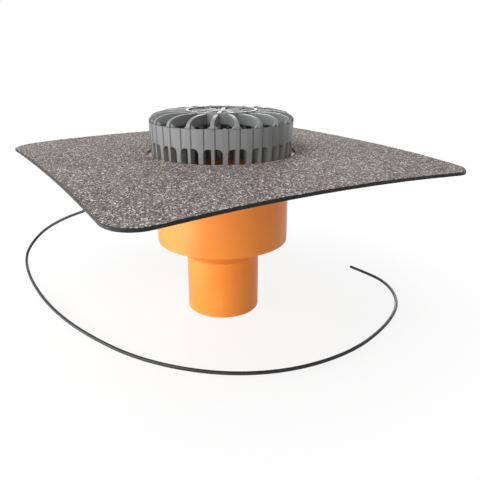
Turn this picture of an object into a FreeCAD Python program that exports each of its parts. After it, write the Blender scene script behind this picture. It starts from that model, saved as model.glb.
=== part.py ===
import FreeCAD, Part
import math
import os

# Flat roof drain with a bitumen collar, a leaf guard and a heating cable, in millimetres.
# Z points up, the drain's axis is Z, and Z = 0 is the spigot's lower end.
# X and Y run along the sides of the square collar.

# Drain body: flange, shell, shouldered bottom and spigot in one moulding
spigot_diameter = 110.0
spigot_length = 87.0
spigot_chamfer = 1.5
neck_diameter = 143.0
neck_rise = 14.0
shell_diameter = 196.0
shoulder_rise = 11.0
shell_height = 128.0
body_wall = 3.2
flange_diameter = 300.0
flange_thickness = 5.0
flange_fillet = 5.0
edge_rounding = 1.0
ledge_depth = 46.5
ledge_width = 6.0
ledge_thickness = 5.0

# Bitumen collar, bonded on the flange
collar_side = 500.0
collar_corner = 40.0
collar_thickness = 5.2
collar_gap = 4.2
collar_droop_radius = 1980.0

# Leaf guard, standing on the flange with its skirt in the body's mouth
guard_stand_out = 7.6
guard_draft = 1.4
guard_height = 48.6
guard_wall = 3.0
strip_relief = 0.6
rib_strip_angle = 3.1
mid_strip_angle = 4.8
slot_width = 10.8
slot_height = 23.3
slot_small_radius = 2.3
slot_large_radius = 7.0
fin_depth = 12.0
rib_fin_width = 4.4
mid_fin_width = 6.6
mid_fin_shift = 0.2
skirt_depth = 24.0
skirt_wall = 3.2
skirt_clearance = 0.6
blade_count = 20
blade_thickness = 5.0
blade_straight = 3.7
dome_rise = 13.9
dome_flat_radius = 76.0
ring_diameter = 103.0
ring_wall = 4.0
ring_stand = 1.6
ring_rounding = 1.6
hub_diameter = 19.0
gusset_reach = 5.0
gusset_depth = 4.0
gusset_rise = 4.5
gusset_lap = 1.0
guard_turn = 0.45

# Funnel insert, hanging by its rim on the body's ledge
heater_space = 18.8
funnel_wall = 2.4
funnel_rim_thickness = 3.0
outlet_gap = 2.3
funnel_cone_lift = 21.0
funnel_cone_rise = 18.0
funnel_outlet_depth = 17.0
insert_clearance = 0.3
rim_gasket_thickness = 1.5
rim_gasket_width = 4.0
outlet_seal_height = 8.0
outlet_groove_depth = 0.8
outlet_seal_lift = 6.0
outlet_seal_clearance = 0.1

# Heater and insulation between the funnel and the shell
heater_thickness = 2.5
heater_height = 40.0
heater_clearance = 0.2
junction_width = 14.0
junction_height = 12.0
junction_thickness = 5.0
foam_clearance = 0.3
foam_pocket_clearance = 0.5

# Cable gland in the back of the shell
gland_turn = 110.0
gland_rise = 43.0
gland_thread = 16.0
gland_flats = 22.0
gland_hex_thickness = 5.0
gland_thread_clearance = 0.2
nut_thread_clearance = 0.1
gland_bore = 7.0
gland_neck = 9.0
gland_boss_diameter = 30.0
gland_boss_proud = 2.5
gland_boss_inside = 2.0
washer_diameter = 26.0
washer_thickness = 1.5
lock_nut_thickness = 4.5
lock_nut_stand = 0.5
cap_flats = 22.0
cap_gap = 0.3
cap_hex_length = 10.0
cap_dome_length = 7.0
cap_tip_diameter = 9.0
bush_diameter = 12.0
bush_depth = 7.0
bush_clearance = 0.1

# Connection cable
cable_diameter = 5.0
cable_first_run = 48.0
ground = cable_diameter / 2

# Cutters reach this far past what they cut
overshoot = 1.0

# Route of the cable to its cut end: corners of a line that is then rounded.
# The two corners before these are worked out from the gland, which the cable leaves straight.
cable_route = [
    (-82, 214, 141),
    (-104, 260, 120),
    (-127, 307, 96),
    (-154, 361, 70),
    (-193, 388, 43),
    (-226, 369, 18),
    (-236, 344, 4.5),
    (-242, 298, ground),
    (-247, 246, ground),
    (-248, 194, ground),
    (-245, 140, ground),
    (-238, 84, ground),
    (-226, 28, ground),
    (-209, -27, ground),
    (-187, -80, ground),
    (-157, -127, ground),
    (-120, -167, ground),
    (-78, -197, ground),
    (-29, -217, ground),
    (26, -225, ground),
    (84, -221, ground),
    (140, -204, ground),
    (190, -181, ground),
    (231, -153, ground),
    (261, -114, ground),
    (281, -60, ground),
    (275, 5, ground),
]

# Heights and radii that several pieces share
spigot_radius = spigot_diameter / 2
bore_radius = spigot_radius - body_wall
shell_radius = shell_diameter / 2
mouth_radius = shell_radius - body_wall
neck_top = spigot_length + neck_rise
shell_bottom = neck_top + shoulder_rise
flange_top = shell_bottom + shell_height
ledge_top = flange_top - ledge_depth
ledge_radius = mouth_radius - ledge_width
skirt_radius = mouth_radius - skirt_clearance
guard_foot_radius = skirt_radius + guard_stand_out
guard_top_radius = guard_foot_radius + guard_draft
rim_top = flange_top + guard_height
fin_radius = guard_foot_radius - fin_depth
funnel_radius = mouth_radius - heater_space
funnel_outlet_radius = bore_radius - outlet_gap
funnel_cone_foot = spigot_length + funnel_cone_lift
funnel_outlet_end = spigot_length - funnel_outlet_depth
outlet_seal_low = funnel_outlet_end + outlet_seal_lift
rim_underside = ledge_top + rim_gasket_thickness
gland_height = shell_bottom + gland_rise
heater_inner = funnel_radius + heater_clearance
heater_outer = heater_inner + heater_thickness
boss_outer_face = shell_radius + gland_boss_proud
boss_inner_face = mouth_radius - gland_boss_inside
hex_start = boss_outer_face + washer_thickness
hex_end = hex_start + gland_hex_thickness
stem_end = hex_end + gland_neck
cap_start = hex_end + cap_gap
cap_end = cap_start + cap_hex_length + cap_dome_length

z_axis = FreeCAD.Vector(0, 0, 1)
x_axis = FreeCAD.Vector(1, 0, 0)
origin = FreeCAD.Vector(0, 0, 0)


def rounded_face(corners):
    """Flat face in the XZ plane. A corner is (x, z), or (x, z, radius) where it is rounded."""
    joins = []
    for index, corner in enumerate(corners):
        here = FreeCAD.Vector(corner[0], 0, corner[1])
        if len(corner) == 2:
            joins.append((here, None, here))
            continue
        following = corners[(index + 1) % len(corners)]
        back = (FreeCAD.Vector(corners[index - 1][0], 0, corners[index - 1][1]) - here).normalize()
        ahead = (FreeCAD.Vector(following[0], 0, following[1]) - here).normalize()
        half_angle = back.getAngle(ahead) / 2
        radius = corner[2]
        reach = radius / math.tan(half_angle)
        inward = (back + ahead).normalize()
        middle = here + inward * (radius / math.sin(half_angle) - radius)
        joins.append((here + back * reach, middle, here + ahead * reach))
    edges = []
    for index, (start, middle, end) in enumerate(joins):
        if middle is not None:
            edges.append(Part.Arc(start, middle, end).toShape())
        next_start = joins[(index + 1) % len(joins)][0]
        if end.distanceToPoint(next_start) > 1e-6:
            edges.append(Part.LineSegment(end, next_start).toShape())
    return Part.Face(Part.Wire(edges))


def turned(corners):
    """Solid turned about the drain's axis from an outline of (radius, height) corners."""
    return rounded_face(corners).revolve(origin, z_axis, 360)


def turned_on_x(corners):
    """Solid turned about the X axis from an outline of (distance along X, radius) corners."""
    return rounded_face(corners).revolve(origin, x_axis, 360)


def slab_from(corners, thickness):
    """Upright slab in the XZ plane, centred on it."""
    face = rounded_face(corners)
    face.translate(FreeCAD.Vector(0, -thickness / 2, 0))
    return face.extrude(FreeCAD.Vector(0, thickness, 0))


def around_axis(shape, count, first=0.0):
    """Copies of a shape at equal turns about the drain's axis."""
    copies = []
    for index in range(count):
        copy = shape.copy()
        copy.rotate(origin, z_axis, first + index * 360.0 / count)
        copies.append(copy)
    return copies


def at_gland(shape):
    """Moves a shape from the X axis to the gland's place in the shell."""
    shape.rotate(origin, z_axis, gland_turn)
    shape.translate(FreeCAD.Vector(0, 0, gland_height))
    return shape


def rod_on_x(radius, start, end):
    """Round rod along the X axis."""
    return Part.makeCylinder(radius, end - start, FreeCAD.Vector(start, 0, 0), x_axis)


def hexagon_on_x(flats, start, end):
    """Hexagonal prism along the X axis, with a flat on each side of Y."""
    corner_radius = flats / math.sqrt(3)
    points = []
    for index in range(7):
        turn = math.radians(60 * index)
        points.append(FreeCAD.Vector(start, corner_radius * math.sin(turn), corner_radius * math.cos(turn)))
    return Part.Face(Part.makePolygon(points)).extrude(FreeCAD.Vector(end - start, 0, 0))


def make_drain_body():
    outline = [
        (bore_radius, 0),
        (spigot_radius - spigot_chamfer, 0),
        (spigot_radius, spigot_chamfer),
        (spigot_radius, spigot_length, edge_rounding),
        (neck_diameter / 2, neck_top, body_wall),
        (shell_radius, shell_bottom, edge_rounding),
        (shell_radius, flange_top - flange_thickness, flange_fillet),
        (flange_diameter / 2, flange_top - flange_thickness, edge_rounding),
        (flange_diameter / 2, flange_top),
        (mouth_radius, flange_top, edge_rounding),
        (mouth_radius, ledge_top),
        (ledge_radius, ledge_top),
        (ledge_radius, ledge_top - ledge_thickness),
        (mouth_radius, ledge_top - ledge_thickness - ledge_width),
        (mouth_radius, shell_bottom + body_wall, edge_rounding),
        (neck_diameter / 2 - body_wall / 2, neck_top + body_wall, body_wall),
        (bore_radius, spigot_length + body_wall / 2, edge_rounding),
    ]
    body = turned(outline)
    boss = at_gland(rod_on_x(gland_boss_diameter / 2, boss_inner_face, boss_outer_face))
    hole_radius = gland_thread / 2 + gland_thread_clearance
    hole = at_gland(rod_on_x(hole_radius, boss_inner_face - overshoot, boss_outer_face + overshoot))
    return body.fuse(boss).cut(hole)


def make_membrane_collar():
    hole_radius = guard_top_radius + collar_gap
    flat_radius = flange_diameter / 2
    outer = collar_side / math.sqrt(2) + overshoot
    centre = FreeCAD.Vector(flat_radius, 0, flange_top - collar_droop_radius)

    def droop(radius, share):
        turn = share * math.asin((outer - flat_radius) / radius)
        return centre + FreeCAD.Vector(radius * math.sin(turn), 0, radius * math.cos(turn))

    under = [droop(collar_droop_radius, share) for share in (0, 0.5, 1)]
    top_radius = collar_droop_radius + collar_thickness
    top = [droop(top_radius, share) for share in (1, 0.5, 0)]
    inner_under = FreeCAD.Vector(hole_radius, 0, flange_top)
    inner_top = FreeCAD.Vector(hole_radius, 0, flange_top + collar_thickness)
    edges = [
        Part.LineSegment(inner_under, under[0]).toShape(),
        Part.Arc(*under).toShape(),
        Part.LineSegment(under[2], top[0]).toShape(),
        Part.Arc(*top).toShape(),
        Part.LineSegment(top[2], inner_top).toShape(),
        Part.LineSegment(inner_top, inner_under).toShape(),
    ]
    sheet = Part.Face(Part.Wire(edges)).revolve(origin, z_axis, 360)
    half = collar_side / 2
    corners = [
        (-half, -half, collar_corner),
        (half, -half, collar_corner),
        (half, half, collar_corner),
        (-half, half, collar_corner),
    ]
    square = rounded_face(corners)
    square.rotate(origin, x_axis, 90)
    square.translate(FreeCAD.Vector(0, 0, flange_top - collar_side / 2))
    return sheet.common(square.extrude(FreeCAD.Vector(0, 0, collar_side)))


def guard_slot():
    """Cutter for one slot, lying along X. Its arch is tight beside the rib and wide beside the plain fin."""
    low = flange_top - overshoot
    high = flange_top + slot_height
    half = slot_width / 2
    corners = [
        (-half, low),
        (half, low),
        (half, high, slot_large_radius),
        (-half, high, slot_small_radius),
    ]
    face = rounded_face(corners)
    face.rotate(origin, z_axis, 90)
    face.translate(FreeCAD.Vector(fin_radius - overshoot, 0, 0))
    return face.extrude(FreeCAD.Vector(guard_top_radius - fin_radius + 2 * overshoot, 0, 0))


def guard_wall_ring():
    """Drafted wall, a little behind the faces of its raised strips."""
    outer_top = guard_top_radius - strip_relief
    outer_foot = guard_foot_radius - strip_relief
    outline = [
        (outer_foot - guard_wall, flange_top),
        (outer_foot, flange_top),
        (outer_top, rim_top, edge_rounding),
        (outer_top - guard_wall, rim_top),
    ]
    return turned(outline)


def guard_strip(angle):
    """Raised strip on the wall, from foot to rim, centred on X."""
    outline = [
        (guard_foot_radius - guard_wall, flange_top),
        (guard_foot_radius, flange_top),
        (guard_top_radius, rim_top, edge_rounding),
        (guard_top_radius - guard_wall, rim_top),
    ]
    face = rounded_face(outline)
    face.rotate(origin, z_axis, -angle / 2)
    return face.revolve(origin, z_axis, angle)


def guard_fin(width, top_height):
    """Upright fin behind the wall, standing on the flange and running into the skirt."""
    inner = fin_radius
    outer = guard_foot_radius - guard_wall / 2
    lap = skirt_radius - skirt_wall / 2
    outline = [
        (inner, flange_top - edge_rounding),
        (lap, flange_top - edge_rounding),
        (lap, flange_top),
        (outer, flange_top),
        (outer, top_height),
        (inner + fin_depth / 3, top_height),
        (inner, top_height - fin_depth / 3),
    ]
    return slab_from(outline, width)


def guard_blade():
    """Curved blade from the wall to the axis: straight up, then a quarter ellipse to the flat top."""
    foot_lap = fin_depth / 2
    straight_top = rim_top + blade_straight
    flat_top = rim_top + dome_rise
    outer = guard_top_radius
    span = outer - dome_flat_radius
    rise = flat_top - straight_top
    ellipse_centre = FreeCAD.Vector(dome_flat_radius, 0, straight_top)
    if span > rise:
        ellipse = Part.Ellipse(FreeCAD.Vector(outer, 0, straight_top),
                               FreeCAD.Vector(dome_flat_radius, 0, flat_top), ellipse_centre)
    else:
        ellipse = Part.Ellipse(FreeCAD.Vector(dome_flat_radius, 0, flat_top),
                               FreeCAD.Vector(outer, 0, straight_top), ellipse_centre)
    start = ellipse.parameter(FreeCAD.Vector(outer, 0, straight_top))
    end = ellipse.parameter(FreeCAD.Vector(dome_flat_radius, 0, flat_top))
    if end < start:
        end += 2 * math.pi
    if end - start > math.pi:
        start, end = end, start + 2 * math.pi
    arc = Part.ArcOfEllipse(ellipse, start, end).toShape()
    corners = [
        FreeCAD.Vector(dome_flat_radius, 0, flat_top),
        FreeCAD.Vector(0, 0, flat_top),
        FreeCAD.Vector(0, 0, rim_top),
        FreeCAD.Vector(fin_radius, 0, rim_top),
        FreeCAD.Vector(fin_radius + foot_lap, 0, rim_top - foot_lap),
        FreeCAD.Vector(guard_foot_radius - guard_wall / 2, 0, rim_top - foot_lap),
        FreeCAD.Vector(outer, 0, rim_top - edge_rounding),
        FreeCAD.Vector(outer, 0, straight_top),
    ]
    edges = [arc]
    for first, second in zip(corners, corners[1:]):
        edges.append(Part.LineSegment(first, second).toShape())
    face = Part.Face(Part.Wire(Part.__sortEdges__(edges)))
    face.translate(FreeCAD.Vector(0, -blade_thickness / 2, 0))
    return face.extrude(FreeCAD.Vector(0, blade_thickness, 0))


def guard_gusset():
    """Pair of small slopes that brace a blade's foot against the inside of the wall."""
    half_foot = blade_thickness / 2 + gusset_reach
    half_top = blade_thickness / 2
    outline = [
        (-half_foot, rim_top - gusset_rise),
        (half_foot, rim_top - gusset_rise),
        (half_foot, rim_top),
        (half_top, rim_top + gusset_rise),
        (-half_top, rim_top + gusset_rise),
        (-half_foot, rim_top),
    ]
    face = rounded_face(outline)
    face.rotate(origin, z_axis, 90)
    wall_inside = guard_top_radius - strip_relief - guard_wall
    face.translate(FreeCAD.Vector(wall_inside - gusset_depth + gusset_lap, 0, 0))
    return face.extrude(FreeCAD.Vector(gusset_depth, 0, 0))


def make_leaf_guard():
    pitch = 360.0 / blade_count
    half_pitch = pitch / 2
    ring_radius = ring_diameter / 2
    pieces = [guard_wall_ring()]
    pieces += around_axis(guard_strip(rib_strip_angle), blade_count)
    pieces += around_axis(guard_strip(mid_strip_angle), blade_count, half_pitch)
    pieces += around_axis(guard_fin(rib_fin_width, rim_top - edge_rounding), blade_count)
    mid_fin_top = flange_top + slot_height + fin_depth / 2
    pieces += around_axis(guard_fin(mid_fin_width, mid_fin_top), blade_count, half_pitch + mid_fin_shift)
    wall = pieces[0].multiFuse(pieces[1:])

    foot_mid_radius = guard_foot_radius - guard_wall / 2
    rib_half_angle = math.degrees(math.asin(rib_fin_width / 2 / foot_mid_radius))
    mid_half_angle = math.degrees(math.asin(mid_fin_width / 2 / foot_mid_radius))
    first_centre = (rib_half_angle + half_pitch + mid_fin_shift - mid_half_angle) / 2
    second_centre = (half_pitch + mid_fin_shift + mid_half_angle + pitch - rib_half_angle) / 2
    slot = guard_slot()
    mirrored = slot.mirror(origin, FreeCAD.Vector(0, 1, 0))
    cutters = around_axis(slot, blade_count, first_centre)
    cutters += around_axis(mirrored, blade_count, second_centre)
    wall = wall.cut(Part.Compound(cutters))

    skirt = turned([
        (skirt_radius - skirt_wall, flange_top - skirt_depth),
        (skirt_radius - edge_rounding, flange_top - skirt_depth),
        (skirt_radius, flange_top - skirt_depth + edge_rounding),
        (skirt_radius, flange_top),
        (skirt_radius - skirt_wall, flange_top),
    ])
    ring_top = rim_top + dome_rise + ring_stand
    ring = turned([
        (ring_radius - ring_wall, rim_top),
        (ring_radius, rim_top),
        (ring_radius, ring_top, ring_rounding),
        (ring_radius - ring_wall, ring_top, ring_rounding),
    ])
    hub = turned([
        (0, rim_top),
        (hub_diameter / 2, rim_top),
        (hub_diameter / 2, rim_top + dome_rise + edge_rounding, edge_rounding),
        (0, rim_top + dome_rise + edge_rounding),
    ])
    blade = guard_blade()
    inside_ring = Part.makeCylinder(ring_radius - ring_wall / 2, rim_top + guard_height)
    long_blades = around_axis(blade, blade_count // 2, pitch)
    short_blades = around_axis(blade.cut(inside_ring), blade_count // 2)
    gussets = around_axis(guard_gusset(), blade_count)
    guard = wall.multiFuse([skirt, ring, hub] + long_blades + short_blades + gussets)
    guard.rotate(origin, z_axis, guard_turn)
    return guard.removeSplitter()


def make_funnel_insert():
    outer = funnel_radius
    rim_radius = mouth_radius - insert_clearance
    cone_top = funnel_cone_foot + funnel_cone_rise
    rim_top_height = rim_underside + funnel_rim_thickness
    groove_top = outlet_seal_low + outlet_seal_height
    outlet_inner = funnel_outlet_radius - funnel_wall
    outline = [
        (outlet_inner, funnel_outlet_end),
        (funnel_outlet_radius, funnel_outlet_end),
        (funnel_outlet_radius, outlet_seal_low),
        (funnel_outlet_radius - outlet_groove_depth, outlet_seal_low),
        (funnel_outlet_radius - outlet_groove_depth, groove_top),
        (funnel_outlet_radius, groove_top),
        (funnel_outlet_radius, funnel_cone_foot, funnel_wall),
        (outer, cone_top, funnel_wall),
        (outer, rim_underside),
        (rim_radius, rim_underside),
        (rim_radius, rim_top_height),
        (outer - funnel_wall, rim_top_height, funnel_wall),
        (outer - funnel_wall, cone_top + funnel_wall / 2, funnel_wall),
        (outlet_inner, funnel_cone_foot + funnel_wall / 2, funnel_wall),
    ]
    return turned(outline)


def make_rim_gasket():
    outer = mouth_radius - insert_clearance
    return turned([
        (outer - rim_gasket_width, ledge_top),
        (outer, ledge_top),
        (outer, rim_underside),
        (outer - rim_gasket_width, rim_underside),
    ])


def make_outlet_seal():
    inner = funnel_outlet_radius - outlet_groove_depth + outlet_seal_clearance
    outer = bore_radius - outlet_seal_clearance
    low = outlet_seal_low + outlet_seal_clearance
    high = outlet_seal_low + outlet_seal_height - outlet_seal_clearance
    lip = (high - low) / 4
    waist = (inner + outer) / 2
    return turned([
        (inner, low),
        (outer, low),
        (outer, low + lip),
        (waist, low + 2 * lip),
        (outer, high - lip),
        (outer, high),
        (inner, high),
    ])


def make_heating_band():
    low = gland_height - heater_height / 2
    high = gland_height + heater_height / 2
    band = turned([
        (heater_inner, low),
        (heater_outer, low, edge_rounding),
        (heater_outer, high, edge_rounding),
        (heater_inner, high),
    ])
    block = Part.makeBox(heater_thickness / 2 + junction_thickness, junction_width, junction_height)
    block.translate(FreeCAD.Vector(heater_outer - heater_thickness / 2, -junction_width / 2, -junction_height / 2))
    return band.fuse(at_gland(block))


def make_insulation_ring():
    outer = mouth_radius - foam_clearance
    slope = shoulder_rise / (shell_radius - neck_diameter / 2)
    inner = funnel_radius + foam_clearance
    relief = heater_outer + foam_clearance
    heater_low = gland_height - heater_height / 2 - foam_clearance
    heater_high = gland_height + heater_height / 2 + foam_clearance
    top = ledge_top - ledge_thickness - ledge_width - foam_clearance
    bottom = shell_bottom + body_wall + 2 * foam_clearance
    ring = turned([
        (inner, bottom - slope * (outer - inner)),
        (outer, bottom),
        (outer, top),
        (inner, top),
    ])
    heater_room = turned([
        (funnel_radius, heater_low),
        (relief, heater_low),
        (relief, heater_high),
        (funnel_radius, heater_high),
    ])
    pocket_radius = gland_boss_diameter / 2 + foam_pocket_clearance
    pocket = at_gland(rod_on_x(pocket_radius, heater_inner, shell_radius))
    return ring.cut(heater_room).cut(pocket)


def make_gland_washer():
    inner = gland_thread / 2 + gland_thread_clearance
    ring = rod_on_x(washer_diameter / 2, boss_outer_face, hex_start)
    return at_gland(ring.cut(rod_on_x(inner, boss_outer_face - overshoot, hex_start + overshoot)))


def make_gland_body():
    thread_radius = gland_thread / 2
    stem_start = boss_inner_face - lock_nut_thickness - lock_nut_stand
    stem = rod_on_x(thread_radius, stem_start, stem_end)
    hexagon = hexagon_on_x(gland_flats, hex_start, hex_end)
    bore = rod_on_x(gland_bore / 2, stem_start - overshoot, stem_end + overshoot)
    seat = rod_on_x(bush_diameter / 2, stem_end - bush_depth, stem_end + overshoot)
    return at_gland(stem.fuse(hexagon).cut(bore).cut(seat))


def make_gland_lock_nut():
    start = boss_inner_face - lock_nut_thickness
    nut = hexagon_on_x(gland_flats, start, boss_inner_face)
    hole_radius = gland_thread / 2 + nut_thread_clearance
    hole = rod_on_x(hole_radius, start - overshoot, boss_inner_face + overshoot)
    return at_gland(nut.cut(hole))


def make_gland_cap():
    dome_start = cap_start + cap_hex_length
    hexagon = hexagon_on_x(cap_flats, cap_start, dome_start)
    dome = turned_on_x([
        (dome_start, 0),
        (dome_start, cap_flats / 2),
        (dome_start + cap_dome_length / 2, cap_flats / 2, cap_dome_length / 3),
        (cap_end, cap_tip_diameter / 2 + edge_rounding),
        (cap_end, 0),
    ])
    socket_radius = gland_thread / 2 + nut_thread_clearance
    socket = rod_on_x(socket_radius, cap_start - overshoot, stem_end + cap_gap)
    mouth = rod_on_x(cable_diameter / 2 + insert_clearance, cap_start - overshoot, cap_end + overshoot)
    return at_gland(hexagon.fuse(dome).cut(socket).cut(mouth))


def make_gland_bush():
    start = stem_end - bush_depth
    sleeve = rod_on_x(bush_diameter / 2 - bush_clearance, start, stem_end)
    hole = rod_on_x(cable_diameter / 2 + bush_clearance, start - overshoot, stem_end + overshoot)
    return at_gland(sleeve.cut(hole))


def make_cable_tail():
    return at_gland(rod_on_x(cable_diameter / 2, heater_outer + junction_thickness, cap_end))


def cable_points():
    turn = math.radians(gland_turn)
    outward = FreeCAD.Vector(math.cos(turn), math.sin(turn), 0)
    height = FreeCAD.Vector(0, 0, gland_height)
    points = [outward * cap_end + height, outward * (cap_end + cable_first_run) + height]
    points += [FreeCAD.Vector(*place) for place in cable_route]
    return points


def make_connection_cable():
    """Round cable along straight runs joined by arcs that are tangent to them."""
    points = cable_points()
    edges = []
    radii = []
    last = points[0]
    for before, here, after in zip(points, points[1:], points[2:]):
        back = before - here
        ahead = after - here
        shorter = min(back.Length, ahead.Length)
        half_turn = (math.pi - back.getAngle(ahead)) / 2
        reach = 0.45 * shorter
        radius = reach / math.tan(half_turn)
        radii.append(radius)
        back.normalize()
        ahead.normalize()
        inward = (back + ahead).normalize()
        middle = here + inward * (radius / math.cos(half_turn) - radius)
        start = here + back * reach
        end = here + ahead * reach
        edges.append(Part.LineSegment(last, start).toShape())
        edges.append(Part.Arc(start, middle, end).toShape())
        last = end
    edges.append(Part.LineSegment(last, points[-1]).toShape())
    path = Part.Wire(edges)
    section = Part.Wire(Part.makeCircle(cable_diameter / 2, points[0], points[1] - points[0]))
    cable = path.makePipeShell([section], True, False)
    expected = math.pi * cable_diameter ** 2 / 4 * path.Length
    print("cable length", round(path.Length, 1), "volume share", round(cable.Volume / expected, 4))
    print("cable bend radii", [round(radius) for radius in radii])
    runs = [round((second - first).Length) for first, second in zip(points, points[1:])]
    print("cable runs", runs)
    return cable


parts = {
    "drain_body": make_drain_body,
    "membrane_collar": make_membrane_collar,
    "leaf_guard": make_leaf_guard,
    "funnel_insert": make_funnel_insert,
    "rim_gasket": make_rim_gasket,
    "outlet_seal": make_outlet_seal,
    "heating_band": make_heating_band,
    "insulation_ring": make_insulation_ring,
    "gland_washer": make_gland_washer,
    "gland_body": make_gland_body,
    "gland_lock_nut": make_gland_lock_nut,
    "gland_cap": make_gland_cap,
    "gland_bush": make_gland_bush,
    "cable_tail": make_cable_tail,
    "connection_cable": make_connection_cable,
}

os.makedirs("parts", exist_ok=True)
for name, make in parts.items():
    shape = make()
    shape.exportStep("parts/" + name + ".step")
    print(name, len(shape.Solids), "solid", round(shape.Volume / 1000, 1), "cm3", shape.isValid())
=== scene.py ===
import math

import bmesh
import bpy
import numpy as np
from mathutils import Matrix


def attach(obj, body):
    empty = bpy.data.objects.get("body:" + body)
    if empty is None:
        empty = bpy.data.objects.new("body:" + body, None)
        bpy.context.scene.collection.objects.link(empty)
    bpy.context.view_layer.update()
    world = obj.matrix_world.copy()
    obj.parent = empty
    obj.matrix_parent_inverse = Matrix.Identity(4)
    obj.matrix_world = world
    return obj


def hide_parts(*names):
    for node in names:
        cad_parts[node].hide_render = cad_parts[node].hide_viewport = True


# Looks of a flat roof drain: orange body, slated bitumen collar, grey leaf guard and heating cable.
# Metres, Z up. The drain's axis is Z and the ground is Z = 0.

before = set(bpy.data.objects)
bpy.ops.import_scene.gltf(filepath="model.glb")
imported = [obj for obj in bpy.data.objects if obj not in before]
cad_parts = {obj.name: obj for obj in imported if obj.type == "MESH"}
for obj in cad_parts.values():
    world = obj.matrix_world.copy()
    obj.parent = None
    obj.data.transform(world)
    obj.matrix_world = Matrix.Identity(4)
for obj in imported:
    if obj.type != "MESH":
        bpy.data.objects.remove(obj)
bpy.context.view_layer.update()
print("frame loaded:", len(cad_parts), "nodes")

mm = 0.001
fullTurn = 2 * math.pi
samePoint = 0.001 * mm  # points of a mesh closer than this are merged


# Camera, where the picture was taken from

cameraView = {
    "distance": 790.2 * mm,  # from the drain's axis
    "height": 382.25 * mm,
    "bearing": 29.08,  # degrees from -Y towards -X
    "aside": 1.94,  # degrees, looks past the axis
    "down": 19.27,
    "focal": 40.56,  # mm, on a sensor of the next width
    "sensor": 36,
    "nearest": 10 * mm,
}


def makeCamera(view):
    data = bpy.data.cameras.new("camera")
    data.lens = view["focal"]
    data.sensor_width = view["sensor"]
    data.clip_start = view["nearest"]
    camera = bpy.data.objects.new("camera", data)
    bearing = math.radians(view["bearing"])
    across, along = math.sin(bearing), math.cos(bearing)
    camera.location = (-view["distance"] * across, -view["distance"] * along, view["height"])
    tilt = math.radians(90 - view["down"])
    camera.rotation_euler = (tilt, 0, -bearing - math.radians(view["aside"]))
    bpy.context.scene.collection.objects.link(camera)
    bpy.context.scene.camera = camera


makeCamera(cameraView)


# Shader helpers

def tone(red, green, blue):
    # A colour as the screen shows it, 0 to 255, as the linear colour that shaders take
    share = np.array([red, green, blue]) / 255
    linear = np.where(share <= 0.04045, share / 12.92, ((share + 0.055) / 1.055) ** 2.4)
    return (*linear.tolist(), 1.0)


class Value:
    # A shader socket; arithmetic on it adds Math nodes to its tree
    def __init__(self, nodes, socket):
        self.nodes = nodes
        self.socket = socket

    def maths(self, operation, *values):
        return self.nodes.node("ShaderNodeMath", {"operation": operation}, dict(enumerate(values)))

    def __add__(self, other):
        return self.maths("ADD", self, other)

    def __radd__(self, other):
        return self.maths("ADD", other, self)

    def __sub__(self, other):
        return self.maths("SUBTRACT", self, other)

    def __rsub__(self, other):
        return self.maths("SUBTRACT", other, self)

    def __mul__(self, other):
        return self.maths("MULTIPLY", self, other)

    def __rmul__(self, other):
        return self.maths("MULTIPLY", other, self)

    def between(self, low, high):
        # Rises smoothly from 0 at low to 1 at high, and is level beyond them; low may be above high
        ends = {"From Min": low, "From Max": high, "Value": self}
        return self.nodes.node("ShaderNodeMapRange", {"interpolation_type": "SMOOTHSTEP"}, ends)

    def within(self, low, high, soft):
        # 0 outside low and high, 1 inside, and smooth over a soft width at both ends
        return self.between(low, low + soft) * self.between(high, high - soft)

    def beside(self, name):
        # Another output of the same node
        return Value(self.nodes, self.socket.node.outputs[name])


class Nodes:
    # Adds nodes to the tree of a material or of the world
    def __init__(self, tree):
        self.tree = tree

    def node(self, kind, settings=None, sockets=None, output=0):
        made = self.tree.nodes.new(kind)
        for name, value in (settings or {}).items():
            if name == "stops":
                self.setStops(made.color_ramp, value)
            else:
                setattr(made, name, value)
        for name, value in (sockets or {}).items():
            if isinstance(value, Value):
                self.tree.links.new(value.socket, made.inputs[name])
            else:
                made.inputs[name].default_value = value
        return Value(self, made.outputs[output]) if made.outputs else None

    def setStops(self, ramp, stops):
        while len(ramp.elements) < len(stops):
            ramp.elements.new(1.0)
        for element, (position, colour) in zip(ramp.elements, stops):
            element.position = position
            element.color = colour


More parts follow.
